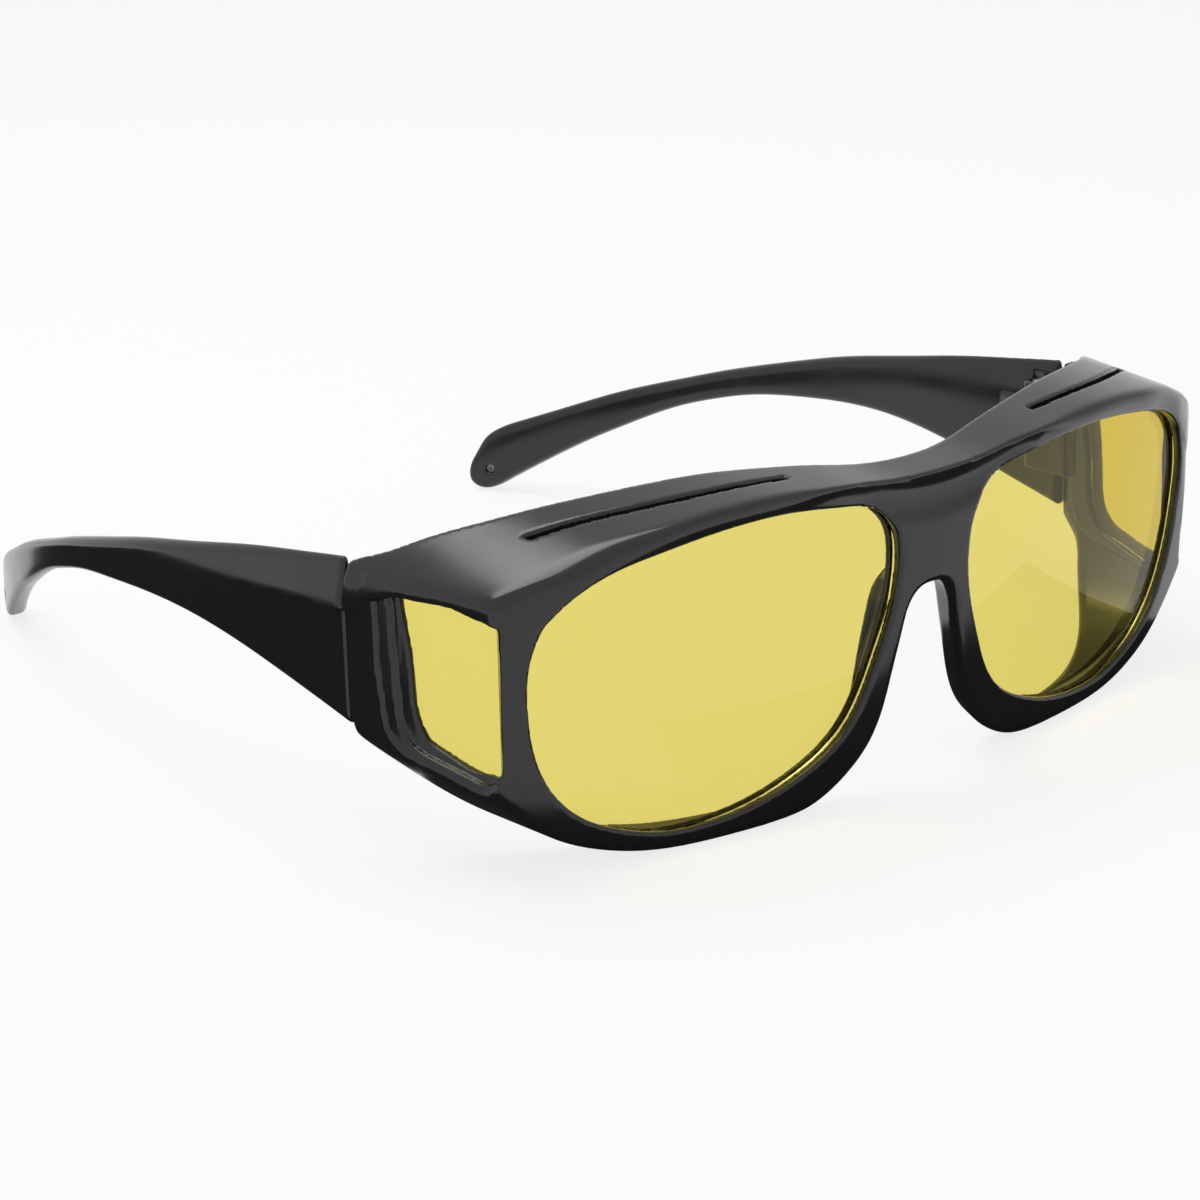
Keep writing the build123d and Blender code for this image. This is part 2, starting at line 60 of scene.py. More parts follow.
# %% Camera
mm = 0.001
camera_place = Vector((-349.29, -407.96, 186.64)) * mm
camera_azimuth = math.radians(-41.2134)
camera_height = math.radians(18.3321)
camera_roll = math.radians(-1.3685)
lens_length, film_width = 106.1, 36
nearest_seen = 0.01
back = Vector((math.sin(camera_azimuth) * math.cos(camera_height),
               -math.cos(camera_azimuth) * math.cos(camera_height), math.sin(camera_height)))
level = Vector((math.cos(camera_azimuth), math.sin(camera_azimuth), 0))
across = math.cos(camera_roll) * level + math.sin(camera_roll) * back.cross(level)
upward = back.cross(across)

camera = bpy.data.objects.new("camera", bpy.data.cameras.new("camera"))
camera.data.lens = lens_length
camera.data.sensor_width = film_width
camera.data.clip_start = nearest_seen
camera.matrix_world = Matrix((across, upward, back)).transposed().to_4x4()
camera.location = camera_place
bpy.context.scene.collection.objects.link(camera)
bpy.context.scene.camera = camera
bpy.context.scene.view_settings.view_transform = "Standard"
print("camera is", round(camera_place.length, 3), "m from the middle of the glasses")

# %% [markdown]
# ## Floor and surroundings
# Product pictures of black glossy things are lit by what they reflect. The surroundings look white to the
# camera, to reflections and to light that passes through a lens, and light everything else more gently.
# The floor glows a little for the same rays, so it looks white and still shows the shadow.

# %% Helpers for the studio
def new_material(name):
    """A new material with its node tree emptied, and that tree."""
    material = bpy.data.materials.new(name)
    material.use_nodes = True
    material.node_tree.nodes.clear()
    return material, material.node_tree


def show(tree, shader):
    """Joins a shader to the output of its material."""
    output = tree.nodes.new("ShaderNodeOutputMaterial")
    tree.links.new(shader, output.inputs["Surface"])


def node_with(tree, kind, values):
    """A new shader node with these values typed into its inputs."""
    node = tree.nodes.new("ShaderNode" + kind)
    for socket, value in values.items():
        node.inputs[socket].default_value = value
    return node


def mixed(tree, share, first, second):
    """The first shader where the share is 0 and the second where it is 1."""
    mix = tree.nodes.new("ShaderNodeMixShader")
    tree.links.new(share, mix.inputs["Fac"])
    tree.links.new(first, mix.inputs[1])
    tree.links.new(second, mix.inputs[2])
    return mix.outputs["Shader"]


def flat_piece(name, corners, height):
    """A flat object with these corners, all at one height."""
    mesh = bpy.data.meshes.new(name)
    mesh.from_pydata([(x, y, height) for x, y in corners], [], [range(len(corners))])
    piece = bpy.data.objects.new(name, mesh)
    bpy.context.scene.collection.objects.link(piece)
    return piece


def maths(tree, operation, a, b=None):
    """A Math node: numbers are typed in and sockets are linked."""
    node = tree.nodes.new("ShaderNodeMath")
    node.operation = operation
    for socket, value in zip(node.inputs, (a, b)):
        if isinstance(value, (int, float)):
            socket.default_value = value
        elif value is not None:
            tree.links.new(value, socket)
    return node.outputs[0]


def white_to(tree, rays):
    """A value that is 1 for these kinds of rays, such as the camera's, and 0 for all others."""
    path = tree.nodes.new("ShaderNodeLightPath")
    total = path.outputs[rays[0]]
    for ray in rays[1:]:
        total = maths(tree, "MAXIMUM", total, path.outputs[ray])
    return total


seen_rays = ("Is Camera Ray", "Is Glossy Ray", "Is Transmission Ray")
print("rays that see white:", *seen_rays)

# %% White surroundings
surroundings_light = 0.75
world = bpy.data.worlds.new("studio")
world.use_nodes = True
bpy.context.scene.world = world
tree = world.node_tree
tree.nodes.clear()
strength = node_with(tree, "MapRange", {"To Min": surroundings_light})
tree.links.new(white_to(tree, seen_rays), strength.inputs["Value"])
glow = tree.nodes.new("ShaderNodeBackground")
tree.links.new(strength.outputs["Result"], glow.inputs["Strength"])
output = tree.nodes.new("ShaderNodeOutputWorld")
tree.links.new(glow.outputs["Background"], output.inputs["Surface"])
print("surroundings light the object at", surroundings_light)

# %% Floor
floor_size, floor_drop = 6.0, 0.0002
floor_glow_share = 0.8
floor_colour = (0.9, 0.9, 0.9, 1)
half = floor_size / 2
floor = flat_piece("floor", [(-half, -half), (half, -half), (half, half), (-half, half)], -floor_drop)
material, tree = new_material("pale_floor")
shine = node_with(tree, "Emission", {})
share = maths(tree, "MULTIPLY", white_to(tree, seen_rays), floor_glow_share)
paint = node_with(tree, "BsdfDiffuse", {"Color": floor_colour})
show(tree, mixed(tree, share, paint.outputs["BSDF"], shine.outputs["Emission"]))
floor.data.materials.append(material)
print("floor:", floor_size, "m across")

# %% [markdown]
# ## Dark card
# A glossy black wall looks black only where it reflects something dark. Photographers lay a dark card
# beside such a piece, out of the picture. This one lies on the floor along the left side and reaches a
# little way under the front, and only reflections can see it.

# %% Dark card
card_corners = [(0.08, -0.107), (-0.035, -0.107), (-0.035, -0.088), (-0.088, -0.088), (-0.090, -0.058),
                (-0.30, -0.002), (-0.30, 0.22), (-0.062, 0.22), (-0.062, -0.035), (0.08, -0.035)]
card_colour = (0.03, 0.03, 0.03, 1)
card = flat_piece("dark_card", card_corners[::-1], -floor_drop / 2)
card.visible_camera = card.visible_diffuse = card.visible_transmission = card.visible_shadow = False
material, tree = new_material("dark_card")
show(tree, node_with(tree, "BsdfDiffuse", {"Color": card_colour}).outputs["BSDF"])
card.data.materials.append(material)
print("dark card:", len(card_corners), "corners")

# %% [markdown]
# ## Lamp
# A single soft box hangs over the temples and looks down at the front. It draws the broad highlight on
# the roof of the moulding and a soft shadow on the floor. A small lamp would leave hard spots on such
# glossy plastic.

# %% Lamp
lamp_place, lamp_aim = Vector((-0.13, 0.2, 0.75)), Vector((0, -0.04, 0.04))
lamp_size, lamp_power = (0.6, 0.4), 2.8
light = bpy.data.lights.new("top_lamp", "AREA")
light.shape = "RECTANGLE"
light.size, light.size_y = lamp_size
light.energy = lamp_power
lamp = bpy.data.objects.new("top_lamp", light)
lamp.location = lamp_place
lamp.rotation_euler = (lamp_aim - lamp_place).to_track_quat("-Z", "Y").to_euler()
bpy.context.scene.collection.objects.link(lamp)
print("lamp:", round(lamp_place.z, 2), "m above the floor")

# %% [markdown]
# ## Finishes
# Three finishes: black moulded plastic with a fine unevenness in its gloss, clear yellow polycarbonate,
# and plain steel for the hinge screws. A photograph of a scratched surface could be laid on instead, but
# noise on the object's own coordinates needs no seams and holds its scale on every piece. The shadow of a
# lens is a lighter yellow than the lens itself, so shadow rays get a clear shader of their own.

# %% Helpers for finishes
noise_detail, noise_low, noise_high = 3.0, 0.3, 0.7


def noise(tree, waves):
    """A noise pattern that follows the object itself, with this many waves in a metre."""
    place = node_with(tree, "TexCoord", {})
    pattern = node_with(tree, "TexNoise", {"Scale": waves, "Detail": noise_detail})
    tree.links.new(place.outputs["Object"], pattern.inputs["Vector"])
    return pattern.outputs["Fac"]


def uneven_gloss(tree, shader, waves, smoothest, roughest):
    """The gloss changes softly over the surface between two roughnesses."""
    node = node_with(tree, "MapRange", {"From Min": noise_low, "From Max": noise_high,
                                        "To Min": smoothest, "To Max": roughest})
    tree.links.new(noise(tree, waves), node.inputs["Value"])
    tree.links.new(node.outputs["Result"], shader.inputs["Roughness"])


def uneven_surface(tree, shader, waves, height):
    """A slight waviness of this height in metres."""
    node = node_with(tree, "Bump", {"Distance": height, "Strength": 1.0})
    tree.links.new(noise(tree, waves), node.inputs["Height"])
    tree.links.new(node.outputs["Normal"], shader.inputs["Normal"])


print("the noise runs mostly from", noise_low, "to", noise_high)

# %% Moulded plastic
black_plastic, tree = new_material("black_plastic")
shader = node_with(tree, "BsdfPrincipled", {"Base Color": (0.012, 0.012, 0.013, 1), "IOR": 1.5})
uneven_gloss(tree, shader, waves=90, smoothest=0.13, roughest=0.2)
uneven_surface(tree, shader, waves=350, height=0.000006)
show(tree, shader.outputs["BSDF"])
print(black_plastic.name, "with", len(tree.nodes), "nodes")

# %% Yellow lens
lens_glass, tree = new_material("yellow_lens")
shader = node_with(tree, "BsdfPrincipled", {"Base Color": (0.80, 0.69, 0.17, 1),
                                            "Transmission Weight": 1.0, "IOR": 1.25})
uneven_gloss(tree, shader, waves=60, smoothest=0.0, roughest=0.02)
path = node_with(tree, "LightPath", {})
clear = node_with(tree, "BsdfTransparent", {"Color": (0.9, 0.82, 0.4, 1)})
show(tree, mixed(tree, path.outputs["Is Shadow Ray"], shader.outputs["BSDF"], clear.outputs["BSDF"]))
print(lens_glass.name, "with", len(tree.nodes), "nodes")

# %% Screw steel
screw_steel, tree = new_material("screw_steel")
shader = node_with(tree, "BsdfPrincipled", {"Base Color": (0.55, 0.55, 0.56, 1), "Metallic": 1.0})
uneven_gloss(tree, shader, waves=2500, smoothest=0.25, roughest=0.4)
uneven_surface(tree, shader, waves=4000, height=0.000008)
show(tree, shader.outputs["BSDF"])
print("finishes:", [m.name for m in bpy.data.materials])

# %% [markdown]
# ## Shapes from distances
# The moulding has no sharp edge anywhere: every corner is a small round, as the steel of a mould leaves
# it. Such a shape is easy to say as a distance: each wall, hole and slot is a function that is negative
# where there is material, and two of them are joined with a soft minimum or maximum that rounds the
# corner between them. A mesh of small quads is then wrapped round the places where the whole function is
# negative, and each of its points slides onto the surface itself. Modelling the same with bevels would
# fail where many edges meet.

# %% Soft joins
def cut(a, b, blend):
    """What lies in both of two shapes, with the corner between them rounded over about this much."""
    near = np.clip(1 - np.abs(a - b) / blend, 0, None)
    return np.maximum(a, b) + near * near * blend / 4


def join(a, b, blend):
    """What lies in either of two shapes, with a soft hollow between them."""
    return -cut(-a, -b, blend)


def smooth_step(value, start, end):
    """0 before start, 1 after end, and a soft change between them."""
    t = np.clip((value - start) / (end - start), 0, 1)
    return t * t * (3 - 2 * t)


no_material = 9.0
print("a blend over 1 mm moves a corner in by", cut(0.0, 0.0, 1.0), "mm")

# %% [markdown]
# ## Outlines
# The outlines of the openings and edges are drawn as a maker draws them: a few points, and a smooth curve
# through them. An outline is then stored as a map of distances on a flat grid, so that asking how far a
# million places are from it stays quick. Curve objects could be drawn instead, but they can't be asked
# for a distance.

# %% Smooth outlines
def curve(points, step=0.3):
    """Close points on a smooth curve through a few chosen ones: a cubic spline with free ends."""
    p = np.array(points, float)
    n = len(p)
    run = np.hypot(*np.diff(p, axis=0).T)
    place = np.concatenate([[0], np.cumsum(run)])
    matrix, right = np.eye(n), np.zeros((n, 2))
    for i in range(1, n - 1):
        matrix[i, i - 1:i + 2] = run[i - 1], 2 * (run[i - 1] + run[i]), run[i]
        right[i] = 6 * ((p[i + 1] - p[i]) / run[i] - (p[i] - p[i - 1]) / run[i - 1])
    turn = np.linalg.solve(matrix, right)
    at = np.linspace(0, place[-1], int(place[-1] / step) + 2)
    i = np.clip(np.searchsorted(place, at, "right") - 1, 0, n - 2)
    a, b = ((place[i + 1] - at) / run[i])[:, None], ((at - place[i]) / run[i])[:, None]
    return a * p[i] + b * p[i + 1] + ((a**3 - a) * turn[i] + (b**3 - b) * turn[i + 1]) * run[i, None]**2 / 6


def loop(points, step=0.3):
    """The same for a closed outline: it runs round twice and the middle turn is kept."""
    points = list(points)
    n = len(points)
    path = curve(points + points + points[:1], step)
    away = np.hypot(*(path - np.array(points[n // 2])).T)
    half = len(path) // 2
    return path[away[:half].argmin():half + away[half:].argmin()]


def both_sides(points):
    """An outline that starts on the middle line, with its mirror image ahead of it."""
    return [(-x, y) for x, y in points[:0:-1]] + list(points)


# %% Maps of distance
class Outline:
    """A closed flat outline as a map of signed distances, negative inside."""

    def __init__(self, points, low, high, pitch=0.4):
        ends = np.array(points, float)
        starts = np.roll(ends, 1, axis=0)
        self.low, self.pitch = np.array(low, float), pitch
        self.size = np.ceil((np.array(high) - low) / pitch).astype(int) + 1
        a, b = np.meshgrid(*(low[i] + pitch * np.arange(self.size[i]) for i in (0, 1)), indexing="ij")
        nearest, inside = np.full(a.shape, 1e9), np.zeros(a.shape, bool)
        for (x0, y0), (x1, y1) in zip(starts, ends):
            dx, dy = x1 - x0, y1 - y0
            length = dx * dx + dy * dy
            if length == 0:
                continue
            t = np.clip(((a - x0) * dx + (b - y0) * dy) / length, 0, 1)
            nearest = np.minimum(nearest, (a - x0 - t * dx) ** 2 + (b - y0 - t * dy) ** 2)
            if dy:
                inside ^= ((y0 > b) != (y1 > b)) & (a < x0 + (b - y0) * dx / dy)
        self.map = np.where(inside, -1, 1) * np.sqrt(nearest)

    def __call__(self, a, b):
        u = np.clip((a - self.low[0]) / self.pitch, 0, self.size[0] - 1.001)
        v = np.clip((b - self.low[1]) / self.pitch, 0, self.size[1] - 1.001)
        i, j = u.astype(int), v.astype(int)
        u, v, m = u - i, v - j, self.map
        near, far = m[i, j] * (1 - u) + m[i + 1, j] * u, m[i, j + 1] * (1 - u) + m[i + 1, j + 1] * u
        return near * (1 - v) + far * v


map_low, map_high, fine_pitch = (-4, -12), (84, 64), 0.2

# %% [markdown]
# ## A mesh round a shape
# The mesh starts as little squares between the cells of a grid that are inside the shape and those that
# are outside. One point in each crossed cell slides to the surface. Then every point moves towards the
# middle of its neighbours and slides back, three times, which evens the mesh out without shrinking the
# shape. A Remesh modifier gives squares too, but they would only follow another mesh.

# %% A mesh wrapped round a shape
def settle(shape, points, pitch, steps):
    """Slides points onto the surface of a shape, straight along its slope."""
    reach, least_slope = 0.05, 0.5
    for _ in range(steps):
        value = shape(*points.T)
        slope = np.stack([(shape(*(points + move).T) - shape(*(points - move).T)) / (2 * reach)
                          for move in reach * np.eye(3)], axis=1)
        steep = np.maximum((slope**2).sum(1), least_slope**2)
        step = slope * (value / steep)[:, None]
        length = np.linalg.norm(step, axis=1, keepdims=True)
        points = points - step * np.minimum(1, pitch / 2 / np.maximum(length, 1e-9))
    return points


def wrap(shape, low, high, pitch, rounds=3):
    """Points and quads of a mesh round a shape: one point for each grid cell that its surface crosses."""
    axes = [np.arange(a, b + pitch, pitch) for a, b in zip(low, high)]
    inside = shape(*np.meshgrid(*axes, indexing="ij")) < 0
    m, n, p = (len(axis) - 1 for axis in axes)
    corners = sum(inside[i:m + i, j:n + j, k:p + k].astype(np.int8)
                  for i in (0, 1) for j in (0, 1) for k in (0, 1))
    crossed = (corners > 0) & (corners < 8)
    number = np.full(crossed.shape, -1)
    number[crossed] = np.arange(crossed.sum())
    points = np.stack([axes[d][i] + pitch / 2 for d, i in enumerate(np.nonzero(crossed))], axis=1)
    quads = []
    for d in range(3):
        b, c = (d + 1) % 3, (d + 2) % 3
        first = np.take(inside, range(inside.shape[d] - 1), axis=d)
        last = np.take(inside, range(1, inside.shape[d]), axis=d)
        for solid, air, turn in ((first, last, 1), (last, first, -1)):
            cell = np.argwhere(solid & ~air)
            ring = []
            for move_b, move_c in ((-1, -1), (0, -1), (0, 0), (-1, 0))[::turn]:
                moved = cell.copy()
                moved[:, b] += move_b
                moved[:, c] += move_c
                ring.append(number[tuple(moved.T)])
            quads.append(np.stack(ring, axis=1))
    quads = np.concatenate(quads)
    points = settle(shape, points, pitch, steps=6)
    sides = np.concatenate([quads[:, [i, (i + 1) % 4]] for i in range(4)])
    count = np.bincount(sides[:, 0], minlength=len(points))
    for _ in range(rounds):
        total = np.zeros_like(points)
        for d in range(3):
            total[:, d] = np.bincount(sides[:, 0], points[sides[:, 1], d], len(points))
        points = settle(shape, (points + total / count[:, None]) / 2, pitch, steps=2)
    return points, quads


def piece_from(name, points, faces, finish):
    """A smooth-shaded object from points in millimetres."""
    mesh = bpy.data.meshes.new(name)
    mesh.from_pydata((points * mm).tolist(), [], faces)
    mesh.polygons.foreach_set("use_smooth", [True] * len(faces))
    mesh.materials.append(finish)
    mesh.validate()
    piece = bpy.data.objects.new(name, mesh)
    bpy.context.scene.collection.objects.link(piece)
    print(name, len(points), "points", len(faces), "faces")
    return piece


def end_with(piece, body, slot, *nodes):
    """The piece moves with a body and stands for these nodes, which are hidden. The slot is not used."""
    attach(piece, body)
    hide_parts(*nodes)


# %% [markdown]
# ## Front moulding
# The face is a slice of a big cylinder that leans forward at the top. Above it the brow stands out and
# turns into the roof, and behind it run the two side walls. All sizes here are in millimetres. Because
# the two halves are alike, every function takes the distance from the middle line instead of the place
# across. A plane, bent and thickened by modifiers, would do for the face but not for its roof.

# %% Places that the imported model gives
frame_low, frame_high = (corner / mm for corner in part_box("front_frame"))
temple_low, temple_high = (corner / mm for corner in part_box("left_temple"))
screw_low, screw_high = (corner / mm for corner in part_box("left_hinge_screw"))
half_width, brow_y = frame_high.x, -temple_high.y
pin_x, pin_y = ((a + b) / 2 for a, b in list(zip(screw_low, screw_high))[:2])
seam_gap = 0.25
seam_y = temple_low.y - seam_gap
print("half width", round(half_width, 2), "brow at", round(brow_y, 2), "seam at", round(seam_y, 2))

# %% Face, side walls and roof
face_radius, face_lean, face_setback = 218.0, math.radians(5.2), 4.6
corner_inset, corner_setback, corner_blend, facet_slope = 4.1, 14.4, 0.8, 0.75
corner_x = half_width - corner_inset
corner_step, brow_step, step_start, step_end = 0.3, 0.8, 15, 32
wall = 2.2
wall_run, wall_rise = seam_y - brow_y - corner_setback, half_width - corner_x
wall_length = math.hypot(wall_run, wall_rise)
roof_tilt, roof_setback = math.radians(6), 18.0


def face(x, y, z, inset=0.0):
    """In front of the lens face, or of a surface this far inside it: positive."""
    behind = (y - brow_y - face_setback) * math.cos(face_lean) + z * math.sin(face_lean)
    return np.hypot(x, face_radius - behind) - face_radius + inset


def side(x, y, inset=0.0):
    """Outside the side wall and the facet that turns the corner: positive."""
    s, out = y - brow_y - corner_setback, x - corner_x + inset * wall_length / wall_run
    straight = (out * wall_run - s * wall_rise) / wall_length
    facet = (out - s / facet_slope) / math.hypot(1, 1 / facet_slope)
    return cut(straight, facet, corner_blend)


def step_in(y):
    """How far the side wall stands in from the brow above it: the step grows rearwards."""
    return corner_step + (brow_step - corner_step) * smooth_step(y - brow_y, step_start, step_end)


roof_line = curve(both_sides([(0, 49.2), (10, 49.5), (16.5, 50.4), (25.5, 51.3), (33.5, 51.7), (42, 51.2),
                              (50, 49.9), (56.3, 48.2), (61.5, 46.1), (66, 44.0), (70.5, 41.4), (73.5, 38.4),
                              (75, 34.5), (75.4, 30)]))
roof_map = Outline(list(roof_line) + [(75.4, -20), (-75.4, -20)], map_low, map_high)


def roof(x, y, z):
    """Above the roof, which rises rearwards: positive."""
    level = z * math.cos(roof_tilt) - (y - brow_y - roof_setback) * math.sin(roof_tilt)
    return roof_map(x, level)


print("roof:", len(roof_line), "points,", round(roof_line[:, 1].max(), 1), "mm high at most")

# %% [markdown]
# ## Lower edges and the arch for the nose
# Seen from the front, the lower edge follows the cheek and then climbs to the temple. The arch leaves
# room for a nose with other glasses on it, and its flanges flare outwards towards the face. Both are
# outlines that cut the walls, because an edge that is cut stays even where the wall behind it bends.

# %% Lower edges and arch
floor_wall = 2.0
cheek_line = curve([(30, 0), (38, 0), (47.3, 0.6), (55, 2.4), (61, 5), (65, 7.8), (68.5, 10.9), (71.5, 14),
                    (73.9, 17.6), (75.3, 22)])
cheek_map = Outline([(-20, 0)] + list(cheek_line) + [(90, 22), (90, 80), (-20, 80)], map_low, map_high)
arch_line = curve(both_sides([(0, 30.3), (1.6, 30.2), (3.4, 29.2), (4.6, 27.2), (5.3, 24.5), (6.7, 18.6),
                              (8.3, 12.4), (10.4, 8.2), (13.8, 4.7), (18.2, 1.9), (23.5, 0.1), (28, -0.6)]))
arch_map = Outline(list(arch_line) + [(28, -20), (-28, -20)], (-4, -12), (60, 48))
flare, flare_start, flare_depth = 0.36, 1.5, 12


def arch(x, y, z):
    """Outside the room for the nose: positive. The flanges beside it flare outwards towards the rear."""
    depth = np.clip(-face(x, y, z) - flare_start, 0, flare_depth)
    return arch_map(x, z) - flare * depth


print("arch for the nose:", round(arch_line[:, 1].max(), 1), "mm high")

# %% [markdown]
# ## Brow
# The brow is the part of the front that stands out over the lenses. It has a sharp crease over the nose
# and a rounder and rounder crest towards the corners, where it runs down the post beside the window. It
# is a solid of its own, cut by its front, the roof and its foot, and is then joined softly to the walls
# below. Pulled out of the walls by hand, it would stretch the mesh at the corners.

# %% Brow
brow_line = curve(both_sides([(0, 0.1), (8, 0.05), (16, 0), (25, 0), (33, 0.2), (42, 1.5), (50, 3.2),
                              (58, 6.1), (64, 8.6), (69, 11.1), (75, 16.6)]))
brow_map = Outline([(-75, 80)] + list(brow_line) + [(90, 32), (90, 80)], map_low, map_high)
brow_foot = curve(both_sides([(0, 44.4), (15, 45.9), (22, 46.2), (30, 45.4), (46, 44.4), (55, 42.3),
                              (61, 39.4), (65, 37.4), (67.0, 36.0), (68.8, 33.6)]))
foot_map = Outline(list(brow_foot) + [(100, 33.7), (100, -40), (-100, -40), (-100, 33.7)], map_low, map_high)
side_foot = curve([(13.4, 33.7), (18, 37.9), (27.7, 38.6), (34.3, 38.0), (38.6, 36.2), (42, 34.4),
                   (46, 32.5)])
side_foot_map = Outline(list(side_foot) + [(46, -20), (13.4, -20)], (0, -8), (60, 64))
brow_lean, lean_loss, lean_reach, brow_height = 0.5, 0.18, (52, 62), 10


def brow_front(x, s, z, top):
    """In front of the brow, whose front leans back below its crest: positive."""
    lean = brow_lean - lean_loss * smooth_step(x, *lean_reach)
    return brow_map(x, s - lean * np.clip(-top, 0, brow_height)) / np.sqrt(1 + lean**2)



# %% Hollow under the crease
flute_radius, flute_drop, flute_reach = 6.0, 3.6, 4.3
flute_fade, fade_reach = 2.4, (12, 32)
crease_line = curve(both_sides([(0, 46.7), (7, 47.2), (14, 48.3), (22, 49.2), (30, 49.8)]))


def flute(x, s, z):
    """Outside the long hollow under the crease over the nose, which runs out over the lenses: positive."""
    height = np.interp(x, crease_line[:, 0], crease_line[:, 1]) - flute_drop
    ahead = -flute_reach - flute_fade * smooth_step(x, *fade_reach)
    return np.hypot(s - ahead, z - height) - flute_radius


print("crease:", round(crease_line[:, 1].min(), 1), "mm high over the nose")

# %% The front before it is hollowed
crease_round, crest_round, corner_round = 0.6, 1.6, 1.4
crest_reach, corner_reach = (20, 32), (46, 58)
wall_round, brow_side_round, brow_foot_round, brow_join = 0.5, 1.2, 0.6, 0.7
ledge_drop, ledge_round, roof_round = 1.0, 0.4, 0.3
flute_round, cheek_round = 0.6, 1.2


def outside(x, y, z):
    """Outside the whole front, before it is hollowed: positive."""
    s = y - brow_y
    walls = cut(face(x, y, z), side(x, y, step_in(y)), wall_round)
    above = -np.minimum(foot_map(x, z), side_foot_map(s, z))
    top = roof(x, y, z)
    crest = (crease_round + crest_round * smooth_step(x, *crest_reach)
             + corner_round * smooth_step(x, *corner_reach))
    brow = cut(cut(brow_front(x, s, z, top), top, crest), side(x, y), brow_side_round)
    brow = cut(brow, above, brow_foot_round)
    front = cut(join(cut(walls, top + ledge_drop, ledge_round), brow, brow_join), top, roof_round)
    front = cut(front, -flute(x, s, z), flute_round)
    return cut(front, cheek_map(x, z), cheek_round)


print("crest rounded over", crease_round, "to", crease_round + crest_round + corner_round, "mm")

# %% [markdown]
# ## Openings
# The lens openings, the grooves that hold the lenses and the two air slots in the roof are all cut
# through the finished walls. A groove is the opening made a little wider at the depth of the lens. It
# stops short of the side wall, where it would come out through the corner. A Boolean modifier could cut
# them too, but would leave sharp edges that are hard to round.

# %% Openings
opening_line = loop([(66.6, 30), (66.4, 24.8), (65.5, 19.4), (63.5, 14.2), (60.3, 9.9), (56.4, 6.9),
                     (51.5, 4.7), (45.5, 3.1), (40, 2.8), (34, 3.3), (28, 4.6), (22.3, 6.7), (17.6, 9.3),
                     (14.0, 12.9), (10.8, 19.4), (8.6, 25.4), (7.4, 30.6), (7.2, 35.2), (8.3, 40.0),
                     (11.6, 43.4), (20.7, 45.8), (32, 46.9), (43, 46.1), (53, 44.2), (60.6, 41.1),
                     (64.9, 36.4)])
opening_map = Outline(opening_line, map_low, map_high)
lens_recess, lens_thickness, lens_edge = 1.3, 1.6, 0.45
groove_play, groove_round, groove_wall = 0.05, 0.2, 0.9
slot_rear = curve([(24.6, 7.1), (34.7, 8.0), (43, 10.2), (53.3, 15.4), (60.6, 20.3)])
slot_front = curve([(60.6, 18.6), (53.3, 13.8), (43, 8.7), (34.7, 6.6), (24.6, 5.9)])
slot_floor = 43.5
slot_map = Outline(list(slot_rear) + list(slot_front), (10, -8), (84, 60), fine_pitch)


def lens_groove(x, y, z):
    """The opening of a front lens with the groove that holds the lens."""
    hole = opening_map(x, z)
    depth = -face(x, y, z)
    half_lens = lens_thickness / 2
    across = np.abs(depth - lens_recess - half_lens) - half_lens - groove_play
    groove = cut(hole - lens_edge, across, groove_round)
    return np.minimum(hole, np.maximum(groove, side(x, y, step_in(y) + groove_wall)))


print("opening:", len(opening_line), "points")

# %% [markdown]
# ## Side windows
# A side window sits in a reveal with two steps, like a picture frame. Three outlines, one inside the
# other, are drawn along the wall. The two outer ones sink a little way in, each with a sloping floor, and
# the inner one goes right through. The wall is too thin for that, so it has a raised pad inside, with a
# pocket for the lens.

# %% Outlines of a side window
window_start, window_slant, slant_start = 3.7, 0.9, 0.2
shared_points = [(-3.5, 20), (-3.6, 28), (-3.5, 38), (0, 41), (8, 42)]
window_rings = [
    [(14.1, 41), (13.9, 31), (13.4, 25.0), (12.3, 19.9), (10.9, 18.2), (7.7, 17.0), (3, 15.7), (-0.4, 15.5),
     (-2.6, 15.9), (-3.6, 18), (-4.4, 21), (-4.6, 28), (-4.4, 38), (0, 41), (6, 42)],
    [(16.2, 41), (16.2, 35.5), (16.0, 30.6), (15.5, 23), (14.4, 18.6), (12.4, 17.1), (8, 15.9), (2, 14.8),
     (-1.4, 14.7), (-3.1, 16.2)] + shared_points,
    [(18.2, 41), (18.4, 34), (18.3, 27), (17.6, 22.1), (16.6, 18.2), (14.6, 16.5), (9, 15.2), (2, 13.9),
     (-1.6, 13.8), (-3.2, 15.2)] + shared_points]
window_map, middle_map, outer_map = (
    Outline(loop(ring, fine_pitch) + [window_start, 0], (-6, 6), (32, 50), fine_pitch)
    for ring in window_rings)
window_top = curve([(10.5, 30), (11.6, 34.6), (13.4, 36.9), (16.6, 38.0), (21.7, 38.4), (40, 38.4)])
print("side window:", len(window_rings[0]), "points")

# %% Cutting the side windows
ramp, ramp_reach, outer_start, middle_start = 0.22, 3.2, 0.25, 1.25
side_lens_depth, side_lens_thickness = 2.6, 1.4
pocket_top, pocket_edge, pocket_start, pocket_lid, half_pocket = 39.0, 1.4, 1.8, 1.0, 2.0
pad_depth, pad_edge, pad_start, pad_round, pad_join = 4.5, 1.2, 2.5, 0.3, 0.6
foot_gap, lid_reach, through = 0.1, 20, 9.0
step_round, window_round, pocket_round = 0.15, 0.3, 0.2


